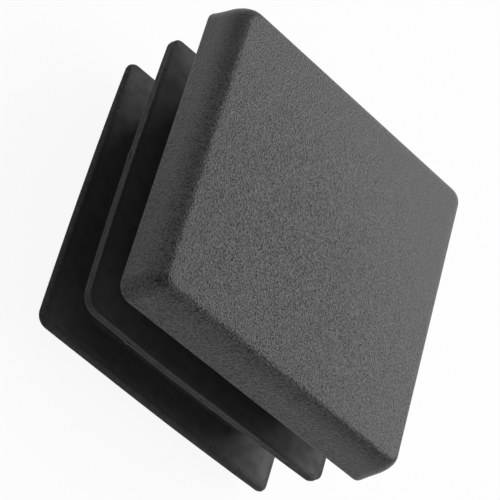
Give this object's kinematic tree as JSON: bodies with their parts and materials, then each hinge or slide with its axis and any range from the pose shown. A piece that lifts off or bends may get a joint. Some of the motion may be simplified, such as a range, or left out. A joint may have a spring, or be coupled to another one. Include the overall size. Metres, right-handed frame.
{
  "type": "square tube end cap",
  "caption": "Square push-in end cap for a square tube: thick head with rounded edges, thin flexible fins and a hollow core.",
  "frame": {"origin": "centre of the shoulder, the flat underside of the head that rests on the end of the tube", "axes": "+Z is the outward normal of the outer face and points out of the tube; X and Y lie along the sides of the square"},
  "size_m": [0.025, 0.025, 0.0149],
  "materials": {
    "cap_plastic": "fine spark-eroded grain on the head, smooth on the fins and core"
  },
  "bodies": {
    "root": {"end_cap": "cap_plastic"}
  },
  "joints": []
}
